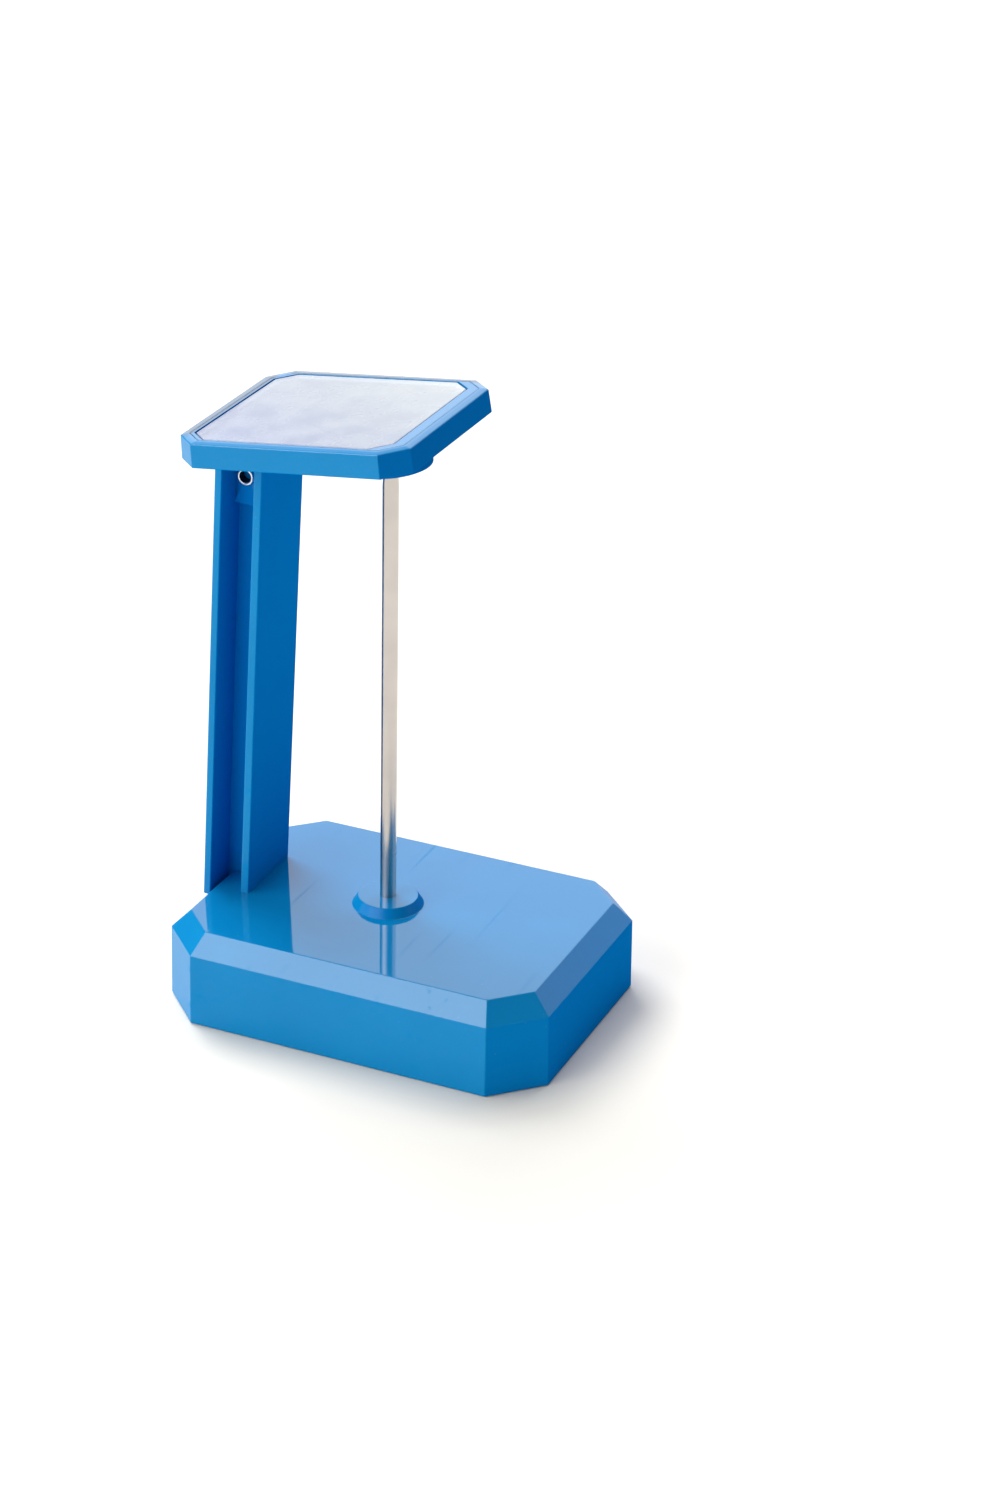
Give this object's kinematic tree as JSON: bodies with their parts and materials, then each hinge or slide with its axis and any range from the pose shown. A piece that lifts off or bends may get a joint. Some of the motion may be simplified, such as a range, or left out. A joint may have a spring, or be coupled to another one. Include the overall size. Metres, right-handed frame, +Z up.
{
  "type": "memo holder",
  "caption": "Desk memo holder: bevelled blue base, leaning post and upright paper spike, with a hinged head that carries a label under a clear window and covers the point.",
  "frame": {"origin": "middle of the footprint, at the level that the rubber feet stand on", "axes": "+Z up along the spike; +X along the base, from the post to the free end; +Y from the front to the back"},
  "size_m": [0.1046, 0.0776, 0.1582],
  "materials": {
    "blue_plastic": "high gloss moulded plastic, deep sky blue, fine rubbing marks",
    "plate_paint": "black painted sheet steel",
    "iron": "raw sawn iron",
    "rubber": "matt black rubber",
    "screw_steel": "zinc plated steel",
    "rivet_nickel": "nickel plated eyelet",
    "spike_steel": "bright drawn steel wire",
    "brass": "turned brass",
    "card": "plain off-white card",
    "clear_plastic": "clear polished sheet"
  },
  "bodies": {
    "stand": {"base_shell": "blue_plastic", "base_plate": "plate_paint", "base_weight": "iron", "foot_front_left": "rubber", "foot_front_right": "rubber", "foot_back_left": "rubber", "foot_back_right": "rubber", "plate_screws": "screw_steel", "post": "blue_plastic", "post_screws": "screw_steel", "hinge_rivet": "rivet_nickel", "spike": "spike_steel", "spike_bush": "brass", "spike_washer": "screw_steel", "spike_nut": "screw_steel"},
    "head": {"head_shell": "blue_plastic", "tip_pad": "rubber", "label_card": "card", "label_window": "clear_plastic"}
  },
  "joints": [
    {"name": "head_hinge", "type": "hinge", "parent": "stand", "child": "head", "pos_m": [-0.04132, 0, 0.13508], "axis": [0, -1, 0], "range_deg": [0, 110]}
  ]
}
